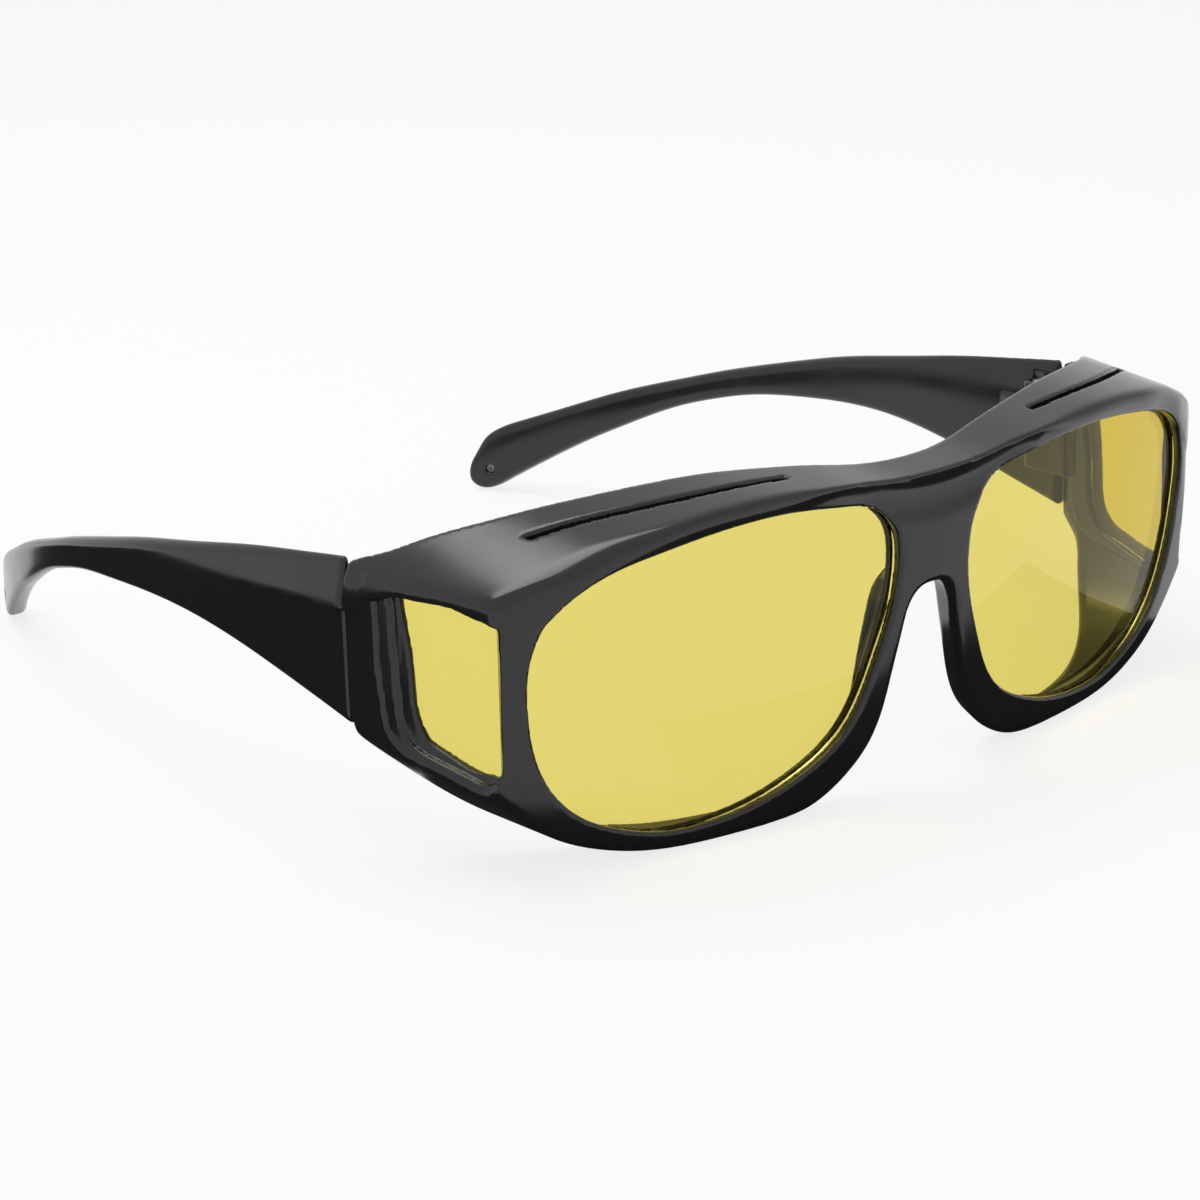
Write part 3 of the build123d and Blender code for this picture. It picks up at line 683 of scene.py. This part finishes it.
def windows(body, x, y, z):
    """The body with the pad, the two-step reveal, the opening and the lens pocket of its windows."""
    along = ((x - corner_x) * wall_rise + (y - brow_y - corner_setback) * wall_run) / wall_length
    depth = -side(x, y, (corner_step + brow_step) / 2)
    hole, middle, outer = window_map(along, z), middle_map(along, z), outer_map(along, z)
    window_lid = z - np.interp(y - brow_y, window_top[:, 0], window_top[:, 1])
    window_lid = np.maximum(window_lid, y - brow_y - lid_reach)
    under_brow = np.minimum(side_foot_map(y - brow_y, z) + foot_gap, window_lid)
    slant = (window_slant * np.maximum(depth, 0) - slant_start - along) / math.hypot(1, window_slant)
    limits = np.maximum(under_brow, slant)
    pad = np.maximum(outer - pad_edge, np.abs(depth - pad_depth / 2) - pad_depth / 2)
    pad = np.maximum(cut(pad, z - pocket_top - pad_edge, pad_round), pad_start - along)
    body = join(body, pad, pad_join)
    for ring, start in ((outer, outer_start), (middle, middle_start)):
        terrace = np.maximum(ring, depth - start - ramp * np.clip(-ring, 0, ramp_reach))
        body = cut(body, -np.maximum(terrace, limits), step_round)
    body = cut(body, -np.maximum(np.maximum(hole, limits), depth - through), window_round)
    pocket = np.maximum(hole - pocket_edge, pocket_start - along)
    pocket = np.maximum(pocket, np.maximum(z - pocket_top, under_brow - pocket_lid))
    pocket = np.maximum(pocket, np.abs(depth - side_lens_depth - half_pocket) - half_pocket)
    return cut(body, -pocket, pocket_round)


print("a side lens lies", side_lens_depth, "mm deep in its window")

# %% [markdown]
# ## Hinge lugs
# Inside the rear end of each wall a block ends in two round knuckles. The tongue of the temple turns in
# the gap between them, on a screw that goes through all three. The gap and the bore are a little wider
# than what moves in them. They are joined to the wall and not set against it, because they are one
# moulding with it.

# %% Hinge lugs
knuckle, screw_bore = 2.2, 0.85
tongue_height, hinge_play, swing_play = 5.4, 0.2, 0.35
lug_root, lug_inset = 9.0, 1.4
lug_round, gap_round, lug_wall_round, bore_round = 0.5, 0.3, 0.1, 0.2
lug_middle, half_lug = (screw_low.z + screw_high.z) / 2, (screw_high.z - screw_low.z) / 2


def box(x, y, low, high):
    """Outside a rectangle: positive."""
    return np.maximum(np.maximum(low[0] - x, x - high[0]), np.maximum(low[1] - y, y - high[1]))


def from_pin(x, y):
    """The distance from the axis of the hinge."""
    return np.hypot(x - pin_x, y - pin_y)


def slanted(x, behind, length, width):
    """Outside a slanted flank that starts at the inner side of the knuckles: positive."""
    return ((pin_x - knuckle - x) * length + behind * width) / math.hypot(length, width)


def hinge_lug(x, y, z):
    """The block on the inside of a wall that ends in two knuckles round the screw."""
    block = box(x, y, (pin_x - knuckle, seam_y - lug_root), (half_width - lug_inset, pin_y))
    block = cut(block, slanted(x, seam_y - lug_root / 2 - y, lug_root / 2, 2 * knuckle), lug_round)
    block = np.where(y > seam_y, np.maximum(block, x - pin_x - knuckle), block)
    lug = cut(np.minimum(block, from_pin(x, y) - knuckle), np.abs(z - lug_middle) - half_lug, lug_round)
    gap = np.abs(z - lug_middle) - tongue_height / 2 - hinge_play
    gap = np.maximum(gap, pin_y - knuckle - swing_play - y)
    lug = cut(cut(lug, -gap, gap_round), side(x, y, step_in(y) + wall / 2), lug_wall_round)
    return cut(lug, screw_bore - from_pin(x, y), bore_round)


print("each lug is", round(2 * half_lug, 1), "mm high")

# %% [markdown]
# ## The whole moulding
# The outside is hollowed by a room that follows the same face, wall and roof, each a wall thickness
# further in. Then the rear edge, the arch, the seam, the openings and the slots are cut, in the order in
# which a mould would form them, and the mesh is wrapped round the result.

# %% The whole moulding
rear_line = curve(both_sides([(0, 7.6), (10, 8.8), (25, 11.6), (42, 16.3), (52, 21.2), (60, 27.2),
                              (66, 32.8), (70.4, 37.2), (71.8, 39.9), (73.2, 43)]))
rear_map = Outline([(-75, -20)] + list(rear_line) + [(73.2, 60), (90, 60), (90, -20)], map_low, map_high)
face_thickness = 3.8
room_round, shell_round, rear_round, arch_round = 1.5, 0.8, 1.0, 1.2
seam_round, opening_round, slot_round = 0.6, 0.5, 0.3


def moulding(x, y, z):
    """Outside the finished moulding: positive."""
    x = np.abs(x)
    s = y - brow_y
    room = cut(face(x, y, z, face_thickness), side(x, y, step_in(y) + wall), room_round)
    room = cut(room, roof(x, y, z) + wall, room_round)
    room = cut(room, cheek_map(x, z) + floor_wall, room_round)
    room = cut(room, floor_wall - arch(x, y, z), room_round)
    body = cut(outside(x, y, z), -room, shell_round)
    body = cut(body, rear_map(x, s), rear_round)
    body = cut(body, -arch(x, y, z), arch_round)
    body = cut(body, y - seam_y, seam_round)
    body = cut(body, -lens_groove(x, y, z), opening_round)
    body = cut(body, -np.maximum(slot_map(x, s), slot_floor - z), slot_round)
    body = windows(body, x, y, z)
    return np.minimum(body, hinge_lug(x, y, z))


pitch = 0.43
margin = 1.2
points, quads = wrap(moulding, (-half_width - margin - pitch / 2, brow_y - margin, -margin),
                     (half_width + margin, pin_y + knuckle + margin, frame_high.z + margin), pitch)
front = piece_from("front_moulding", points, quads.tolist(), black_plastic)
end_with(front, "root", "moulded_plastic", "front_frame")

# %% [markdown]
# ## Temples
# A temple is a flat strip that runs straight back and then bends inwards round the head. Its outline is
# high at the hinge and thin over the ear. Along the outside a crease divides the strip: above it the
# surface leans in, and below it the strip starts flush with the side wall. Both temples come from one
# function, mirrored. A curve with a profile could make the strip, but its height changes too much on the
# way.

# %% Outline and strip of a temple
temple_thickness, temple_inset, temple_straight = 3.5, 23.0, 36.0
half_strip = temple_thickness / 2
bend_y = seam_y + temple_straight
bend_run = temple_high.y - bend_y
bend_radius = (bend_run**2 + temple_inset**2) / (2 * temple_inset)
bend_x = half_width - half_strip - bend_radius
temple_rows = [(-41, 42.7), (-31, 41.0), (-18, 38.9), (-5, 36.4), (9, 33.8), (18, 31.7), (28, 29.2),
               (34, 27.6), (43, 24.9), (55, 21.1), (66, 16.8), (74, 13.6), (78.2, 11.7), (80.4, 9.9),
               (81.7, 7.4), (82.8, 4.7), (83.0, 3.0), (82.4, 1.1), (80.6, 0.1), (77.2, 1.5), (72, 4.9),
               (66, 8.6), (60.5, 11.7), (55, 14.5), (49, 17.4), (43, 19.9), (37, 21.8), (29, 23.8),
               (19, 25.1), (9, 25.8), (0, 25.8), (-7, 25.2), (-17, 23.5), (-29, 20.6), (-41, 17.6)]
temple_map = Outline(curve(temple_rows), (-52, -8), (92, 52))
crease_rows = curve([(-41, 34.4), (-31, 33.9), (-18, 33.1), (-5, 32.7), (8, 32.3), (22, 30.1), (39, 26.9),
                     (60, 22.0)])
inner_crease_rows = curve([(-41, 33.5), (-18, 33.0), (-6, 32.2), (12, 29.3), (31, 25.3), (49, 19.4),
                           (66, 12.8), (84, 2)])
outer_lean, inner_lean, low_step_run = 0.22, 0.13, 34
gusset_length, gusset_width = 9.0, half_width - temple_thickness - pin_x + knuckle
hole_radius, hole_inset, hole_height = 0.8, 3.4, 4.1
hole_y = temple_high.y - hole_inset
hole_turn = math.asin((hole_y - bend_y) / bend_radius)
hole_x = bend_x + bend_radius * math.cos(hole_turn)
print("temple: bent to a radius of", round(bend_radius, 1), "mm")

# %% A temple
crease_round, strip_round, rim_round, end_round = 0.4, 1.0, 1.5, 0.5
notch_round, tongue_round, tongue_join, hole_round = 0.3, 0.4, 0.3, 0.4


def across_strip(x, y):
    """The distance out of the middle of the strip, at right angles to it."""
    return np.where(y < bend_y, x - bend_x - bend_radius, np.hypot(x - bend_x, y - bend_y) - bend_radius)


def leaning(out, lean, height):
    """Outside a flank of the strip that leans in above its crease: positive."""
    return (out - half_strip + lean * height) / math.hypot(1, lean)


def temple(x, y, z):
    """Outside the finished left temple: positive."""
    out = across_strip(x, y)
    crease = np.interp(y, crease_rows[:, 0], crease_rows[:, 1])
    inner_crease = np.interp(y, inner_crease_rows[:, 0], inner_crease_rows[:, 1])
    low_step = brow_step * (1 - smooth_step(y, seam_y, seam_y + low_step_run))
    lower = out - half_strip + np.where(z < crease, low_step, 0.0)
    outer = cut(lower, leaning(out, outer_lean, z - crease), crease_round)
    inner = cut(-out - half_strip, leaning(-out, inner_lean, z - inner_crease), crease_round)
    strip = cut(cut(outer, inner, strip_round), temple_map(y, z), rim_round)
    strip = cut(strip, temple_low.y - y, end_round)
    notch = np.maximum(np.maximum(x - pin_x, y - pin_y) - knuckle - swing_play,
                       np.abs(z - lug_middle) - half_lug - hinge_play)
    strip = cut(strip, -notch, notch_round)
    plan = box(x, y, (pin_x - knuckle, pin_y - knuckle), (half_width - half_strip, pin_y + gusset_length))
    plan = np.maximum(plan, slanted(x, y - pin_y, gusset_length, gusset_width))
    plan = np.where((x < pin_x) & (y < pin_y), no_material, plan)
    tongue = np.minimum(plan, from_pin(x, y) - knuckle)
    tongue = cut(tongue, np.abs(z - lug_middle) - tongue_height / 2, tongue_round)
    body = cut(join(strip, tongue, tongue_join), screw_bore - from_pin(x, y), bore_round)
    off_axis = (y - hole_y) * math.cos(hole_turn) - (x - hole_x) * math.sin(hole_turn)
    hole = np.where(y > bend_y, np.hypot(off_axis, z - hole_height) - hole_radius, no_material)
    return cut(body, -hole, hole_round)


print("cord hole:", round(hole_y, 1), "mm behind the middle,", hole_height, "mm high")

# %% Both temples
temple_pitch = 0.42
points, quads = wrap(temple, (temple_low.x - margin, temple_low.y - margin, -margin),
                     (half_width + margin, temple_high.y + margin, temple_high.z + margin), temple_pitch)
for name, way in (("left_temple", 1), ("right_temple", -1)):
    arm = piece_from(name + "_arm", points * (way, 1, 1), quads[:, ::way].tolist(), black_plastic)
    end_with(arm, name, "moulded_plastic", name)

# %% [markdown]
# ## Lenses
# A front lens is cut from a bent sheet: flat in height, round in plan, and of even thickness. We draw it
# flat first, as rings of its outline, and a Geometry Nodes tree lays that blank onto the cylinder of the
# face. The radius, the lean, the place and the depth are inputs of the tree, so one tree bends both
# lenses.

# %% A flat blank
def blank(outline, thickness, edge=0.35, rings=12, edge_steps=9, support=1.5):
    """A closed plate with a rounded edge and a supporting ring beside it: y runs from 0 to the thickness."""
    centre = (outline.min(0) + outline.max(0)) / 2
    size = (outline.max(0) - outline.min(0)).min() / 2
    flat = 1 - support * edge / size
    rows = [(share * flat, 0.0) for share in np.linspace(0, 1, rings + 1)[1:]]
    for turn in np.linspace(0, math.pi, edge_steps):
        side_start = edge if turn < math.pi / 2 else thickness - edge
        rows.append((1 - edge * (1 - math.sin(turn)) / size, side_start - edge * math.cos(turn)))
    rows += [(share * flat, thickness) for share in np.linspace(1, 0, rings + 1)[:-1]]
    count = len(outline)
    points = [(centre[0], 0.0, centre[1])]
    for share, depth in rows:
        ring = centre + (outline - centre) * share
        points += [(x, depth, z) for x, z in ring]
    points.append((centre[0], thickness, centre[1]))
    faces = [(0, 1 + i, 1 + (i + 1) % count) for i in range(count)]
    for row in range(len(rows) - 1):
        a = 1 + row * count
        b = a + count
        faces += [(a + i, b + i, b + (i + 1) % count, a + (i + 1) % count) for i in range(count)]
    a, last = 1 + (len(rows) - 1) * count, len(points) - 1
    faces += [(last, a + (i + 1) % count, a + i) for i in range(count)]
    return np.array(points), faces


# %% Helpers for trees
def tree_with(name, inputs):
    """An empty Geometry Nodes tree with a geometry going in and out, and these named inputs."""
    tree = bpy.data.node_groups.new(name, "GeometryNodeTree")
    tree.interface.new_socket("Geometry", in_out="INPUT", socket_type="NodeSocketGeometry")
    tree.interface.new_socket("Geometry", in_out="OUTPUT", socket_type="NodeSocketGeometry")
    for title, kind in inputs:
        tree.interface.new_socket(title, in_out="INPUT", socket_type=kind)
    return tree, tree.nodes.new("NodeGroupInput"), tree.nodes.new("NodeGroupOutput")


def end_tree(tree, geometry, material, output):
    """Every tree ends the same way: real geometry, then its material."""
    real = tree.nodes.new("GeometryNodeRealizeInstances")
    paint = tree.nodes.new("GeometryNodeSetMaterial")
    tree.links.new(geometry, real.inputs[0])
    tree.links.new(real.outputs[0], paint.inputs["Geometry"])
    tree.links.new(material, paint.inputs["Material"])
    tree.links.new(paint.outputs["Geometry"], output.inputs["Geometry"])


def shaped_by(tree, piece, values):
    """The piece as the tree makes it with these input values, as a plain mesh with no modifier."""
    modifier = piece.modifiers.new(tree.name, "NODES")
    modifier.node_group = tree
    for socket in tree.interface.items_tree:
        if socket.in_out == "INPUT" and socket.name in values:
            modifier[socket.identifier] = values[socket.name]
    evaluated = piece.evaluated_get(bpy.context.evaluated_depsgraph_get())
    mesh = bpy.data.meshes.new_from_object(evaluated)
    piece.modifiers.remove(modifier)
    piece.data = mesh
    mesh.name = piece.name


# %% A tree that bends a blank
bend_tree, given, output = tree_with("bend onto a cylinder", [
    ("Face radius", "NodeSocketFloat"), ("Lean", "NodeSocketFloat"), ("Face place", "NodeSocketFloat"),
    ("Recess", "NodeSocketFloat"), ("Material", "NodeSocketMaterial")])
place = bend_tree.nodes.new("GeometryNodeInputPosition")
split = bend_tree.nodes.new("ShaderNodeSeparateXYZ")
bend_tree.links.new(place.outputs[0], split.inputs[0])
x, y, z = split.outputs
radius, lean, face_place, recess = given.outputs[1:5]
inner_radius = maths(bend_tree, "SUBTRACT", maths(bend_tree, "SUBTRACT", radius, recess), y)
squares = maths(bend_tree, "SUBTRACT", maths(bend_tree, "MULTIPLY", inner_radius, inner_radius),
                maths(bend_tree, "MULTIPLY", x, x))
fall = maths(bend_tree, "SUBTRACT", radius, maths(bend_tree, "SQRT", squares))
rise = maths(bend_tree, "MULTIPLY", z, maths(bend_tree, "SINE", lean))
leaned = maths(bend_tree, "SUBTRACT", fall, rise)
bent_y = maths(bend_tree, "ADD", face_place,
               maths(bend_tree, "DIVIDE", leaned, maths(bend_tree, "COSINE", lean)))
joined = bend_tree.nodes.new("ShaderNodeCombineXYZ")
for value, socket in zip((x, bent_y, z), joined.inputs):
    bend_tree.links.new(value, socket)
moved = bend_tree.nodes.new("GeometryNodeSetPosition")
bend_tree.links.new(given.outputs["Geometry"], moved.inputs["Geometry"])
bend_tree.links.new(joined.outputs[0], moved.inputs["Position"])
end_tree(bend_tree, moved.outputs["Geometry"], given.outputs["Material"], output)
print("tree:", bend_tree.name, len(bend_tree.nodes), "nodes")

# %% Front lenses
lens_gap = 0.08
lens_outline = opening_line.copy()
ahead, behind = np.roll(lens_outline, -1, axis=0), np.roll(lens_outline, 1, axis=0)
run = ahead - behind
run /= np.linalg.norm(run, axis=1, keepdims=True)
turning = np.sign(np.sum(behind[:, 0] * ahead[:, 1] - ahead[:, 0] * behind[:, 1]))
lens_outline += turning * (lens_edge - lens_gap) * np.stack([run[:, 1], -run[:, 0]], axis=1)
# every second point is close enough for the lens itself
points, faces = blank(lens_outline[::2], lens_thickness)


def pane(name, points, faces):
    """A smooth closed pane whose faces point outwards."""
    lens = piece_from(name, points, faces, lens_glass)
    work = bmesh.new()
    work.from_mesh(lens.data)
    bmesh.ops.recalc_face_normals(work, faces=work.faces)
    work.to_mesh(lens.data)
    work.free()
    return lens


for name, way in (("left_front_lens", 1), ("right_front_lens", -1)):
    lens = pane(name + "_pane", points * (way, 1, 1), faces)
    shaped_by(bend_tree, lens, {"Face radius": face_radius * mm, "Lean": face_lean,
                                "Face place": (brow_y + face_setback) * mm, "Recess": lens_recess * mm,
                                "Material": lens_glass})
    end_with(lens, "root", "tinted_lens", name)

# %% [markdown]
# ## Side lenses
# A side lens is a small flat pane in a pocket of the side wall. Its outline is a little larger than the
# window, so it can't fall out. It is drawn flat too, and then laid along the wall, which leaves the front
# at a slant.

# %% Side lenses
side_outline = loop([(15.2, 38.0), (15.0, 31), (14.5, 24.8), (13.3, 19.2), (11.6, 16.9), (7.9, 15.7),
                     (3, 14.4), (-0.2, 14.4), (-1.3, 15.9), (-1.7, 20), (-1.7, 28), (-1.7, 34), (-1.5, 37.2),
                     (-0.4, 38.5), (6, 38.8), (13, 38.8)])
points, faces = blank(side_outline, side_lens_thickness, edge=0.3, rings=4)
ahead = np.array([wall_rise, wall_run, 0]) / wall_length
inwards = np.array([-wall_run, wall_rise, 0]) / wall_length
side_lens_gap = 0.1
depth = points[:, 1] + side_lens_depth + side_lens_gap + (corner_step + brow_step) / 2
laid = (np.array([corner_x, brow_y + corner_setback, 0]) + np.outer(points[:, 0] + window_start, ahead)
        + np.outer(depth, inwards) + np.outer(points[:, 2], [0, 0, 1]))
for name, way in (("left_side_lens", 1), ("right_side_lens", -1)):
    lens = pane(name + "_pane", laid * (way, 1, 1), faces)
    end_with(lens, "root", "tinted_lens", name)

# %% [markdown]
# ## Hinge screws
# Each hinge turns on a small steel screw with a slotted head. The two are alike, so one is shaped and a
# tree puts a copy at every pin: the place of the first, the step to the next and their number are its
# inputs. Two copies by hand would do as well, but could drift off their pins when a size changes.

# %% One screw
shank_radius, head_radius, head_height, slot_width, driver_depth = 0.75, 1.45, 0.9, 0.42, 0.5
dome_radius, thread_depth, thread_pitch, threaded_share = 2.6, 0.05, 0.7, 0.45
tip_round, head_round, dome_round, driver_round = 0.5, 0.2, 0.3, 0.1
screw_length = screw_high.z - screw_low.z


def screw(x, y, z):
    """Outside one screw, with its tip at the origin and its slotted head on top: positive."""
    from_axis = np.hypot(x, y)
    thread = thread_depth * np.sin(2 * math.pi * z / thread_pitch - np.arctan2(y, x))
    shank = from_axis - shank_radius - np.where(z < screw_length * threaded_share, thread, 0)
    shank = cut(cut(shank, -z, tip_round), z - screw_length + head_height / 2, driver_round)
    head = cut(from_axis - head_radius, screw_length - head_height - z, head_round)
    head = cut(head, np.hypot(from_axis, z - screw_length + dome_radius) - dome_radius, dome_round)
    driver = np.maximum(np.abs(x) - slot_width / 2, screw_length - driver_depth - z)
    return cut(np.minimum(shank, head), -driver, driver_round)


screw_reach, screw_room, screw_pitch = 1.8, 0.4, 0.14
points, quads = wrap(screw, (-screw_reach, -screw_reach, -screw_room),
                     (screw_reach, screw_reach, screw_length + screw_room), screw_pitch)
screws = piece_from("hinge_screws", points, quads.tolist(), screw_steel)

# %% A tree that sets it at the pins
row_tree, given, output = tree_with("set in a row", [
    ("First place", "NodeSocketVector"), ("Step", "NodeSocketVector"), ("Count", "NodeSocketInt"),
    ("Material", "NodeSocketMaterial")])
row = row_tree.nodes.new("GeometryNodeMeshLine")
copies = row_tree.nodes.new("GeometryNodeInstanceOnPoints")
for source, target in ((given.outputs["Count"], row.inputs["Count"]),
                       (given.outputs["First place"], row.inputs["Start Location"]),
                       (given.outputs["Step"], row.inputs["Offset"]),
                       (row.outputs["Mesh"], copies.inputs["Points"]),
                       (given.outputs["Geometry"], copies.inputs["Instance"])):
    row_tree.links.new(source, target)
end_tree(row_tree, copies.outputs["Instances"], given.outputs["Material"], output)
shaped_by(row_tree, screws, {"First place": (-pin_x * mm, pin_y * mm, screw_low.z * mm),
                             "Step": (2 * pin_x * mm, 0.0, 0.0), "Count": 2, "Material": screw_steel})
end_with(screws, "root", "screw_steel", "left_hinge_screw", "right_hinge_screw")
print("screws:", len(screws.data.vertices), "points")

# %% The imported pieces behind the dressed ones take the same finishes
for node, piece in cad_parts.items():
    finish = lens_glass if "lens" in node else screw_steel if "screw" in node else black_plastic
    piece.data.materials.clear()
    piece.data.materials.append(finish)
print("finished", len(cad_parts), "packed pieces")
